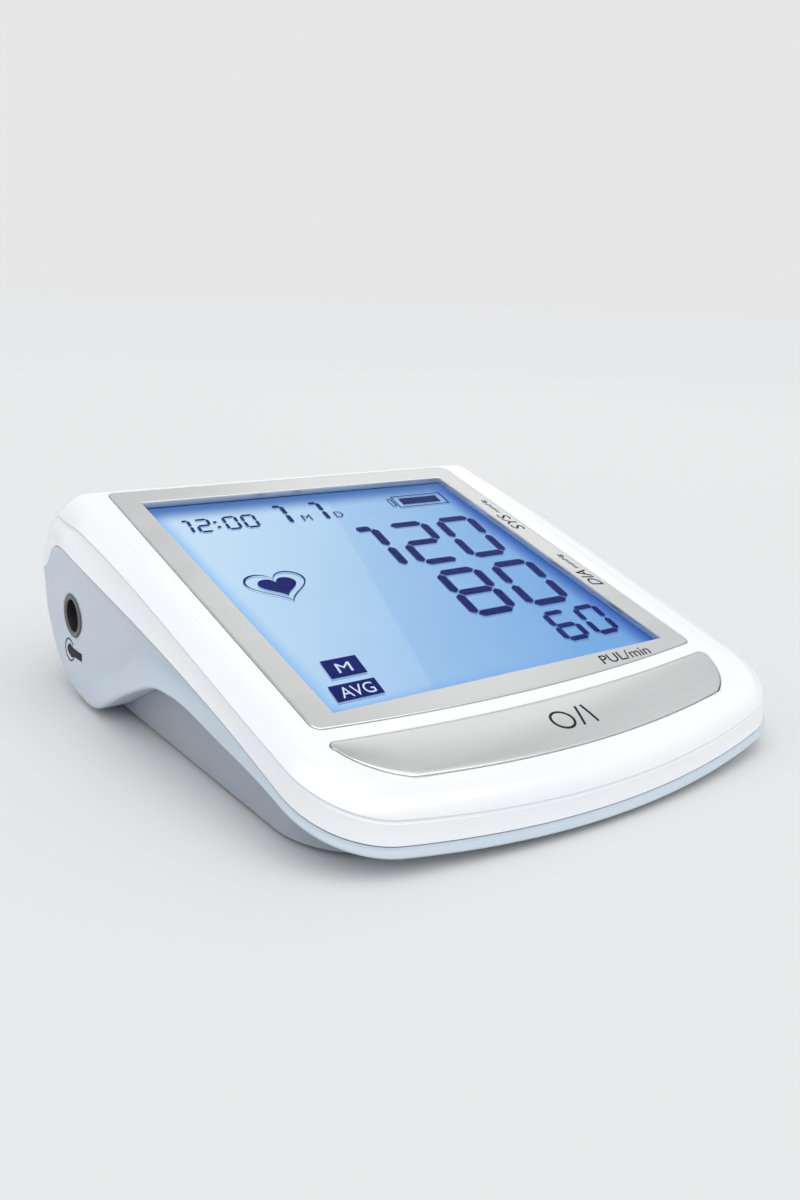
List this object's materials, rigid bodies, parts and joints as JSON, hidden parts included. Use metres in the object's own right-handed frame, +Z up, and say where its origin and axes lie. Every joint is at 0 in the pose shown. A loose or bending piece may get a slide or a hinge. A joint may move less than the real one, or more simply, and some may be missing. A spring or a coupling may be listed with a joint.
{
  "type": "upper arm blood pressure monitor",
  "caption": "Wedge-shaped desktop monitor with a large backlit display, one crescent button, an air socket for a cuff and an opening battery door.",
  "frame": {"origin": "on the table, under the middle of the housing's box, at the underside of the rubber feet", "axes": "+X to the user's right, +Y to the back, +Z up"},
  "size_m": [0.142, 0.1416, 0.05],
  "materials": {
    "cover_white": "polished white moulded plastic",
    "shell_pale": "satin pale blue-grey moulded plastic",
    "base_grey": "fine spark-eroded texture",
    "silver_satin": "satin silver",
    "window_clear": "clear acrylic",
    "display_glass": "clear glass",
    "display_film": "thin polarising film",
    "guide_clear": "clear acrylic with fine dots",
    "film_white": "white film",
    "holder_white": "moulded white plastic",
    "led_yellow": "phosphor in white housing",
    "board_green": "solder mask",
    "chip_black": "moulded epoxy",
    "nickel": "nickel plate",
    "steel": "zinc-plated steel",
    "magnet_dark": "sintered ferrite",
    "copper": "enamelled copper wire",
    "part_black": "moulded black plastic",
    "part_natural": "natural acetal",
    "socket_grey": "grey moulded plastic",
    "rubber_dark": "soft rubber",
    "silicone": "translucent silicone",
    "foam_dark": "closed-cell foam",
    "cell_jacket": "printed steel jacket"
  },
  "bodies": {
    "housing": {"top_cover": "cover_white", "lower_shell": "shell_pale", "base_pan": "base_grey", "battery_cells": "cell_jacket", "battery_springs": "nickel", "battery_contacts": "nickel", "rubber_feet": "rubber_dark", "housing_screws": "steel", "bezel_frame": "silver_satin", "window_lens": "window_clear", "polariser": "display_film", "front_glass": "display_glass", "rear_glass": "display_glass", "diffuser": "film_white", "light_guide": "guide_clear", "reflector": "film_white", "led_strip": "board_green", "backlight_leds": "led_yellow", "lcd_holder": "holder_white", "contact_strip": "rubber_dark", "main_board": "board_green", "controller_chip": "chip_black", "board_chips": "chip_black", "crystal": "nickel", "capacitors": "steel", "small_parts": "part_natural", "buzzer": "part_black", "pressure_sensor": "part_natural", "sensor_board": "board_green", "board_screws": "steel", "switch_body": "part_black", "button_board": "board_green", "air_socket": "socket_grey", "pump_motor": "steel", "pump_magnets": "magnet_dark", "pump_endcap": "part_black", "pump_head": "part_black", "wobble_plate": "part_natural", "diaphragm": "rubber_dark", "pump_cover": "part_black", "pump_cushions": "foam_dark", "pump_cradle": "shell_pale", "valve_frame": "steel", "valve_coil": "copper", "valve_spring": "nickel", "valve_seat": "part_natural", "manifold": "part_natural", "hose_socket": "silicone", "hose_pump": "silicone", "hose_valve": "silicone", "hose_sensor": "silicone"},
    "button": {"power_button": "silver_satin"},
    "switch_plunger": {"switch_plunger": "part_black"},
    "door": {"battery_door": "base_grey"},
    "rotor": {"pump_rotor": "steel"},
    "valve_plunger": {"valve_plunger": "steel"}
  },
  "joints": [
    {"name": "power_button_press", "type": "slide", "parent": "housing", "child": "button", "axis": [0, 0.2672, -0.9636], "range_m": [0, 0.0005], "stiffness_N_per_m": 1500, "springref_m": -0.0004},
    {"name": "switch_plunger_press", "type": "slide", "parent": "housing", "child": "switch_plunger", "axis": [0, 0.2672, -0.9636], "range_m": [0, 0.0005]},
    {"name": "battery_door_swing", "type": "hinge", "parent": "housing", "child": "door", "pos_m": [0, 0.0307, 0.0029], "axis": [1, 0, 0], "range_deg": [0, 95]},
    {"name": "pump_rotor_spin", "type": "hinge", "parent": "housing", "child": "rotor", "pos_m": [0.03, 0.0495, 0.0198], "axis": [1, 0, 0], "continuous": true},
    {"name": "valve_plunger_slide", "type": "slide", "parent": "housing", "child": "valve_plunger", "axis": [0, 0, -1], "range_m": [0, 0.0008], "stiffness_N_per_m": 250, "springref_m": -0.0006, "deforming": ["valve_spring"]}
  ],
  "couplings": [
    {"joint": "switch_plunger_press", "follows": "power_button_press", "ratio": 1}
  ]
}
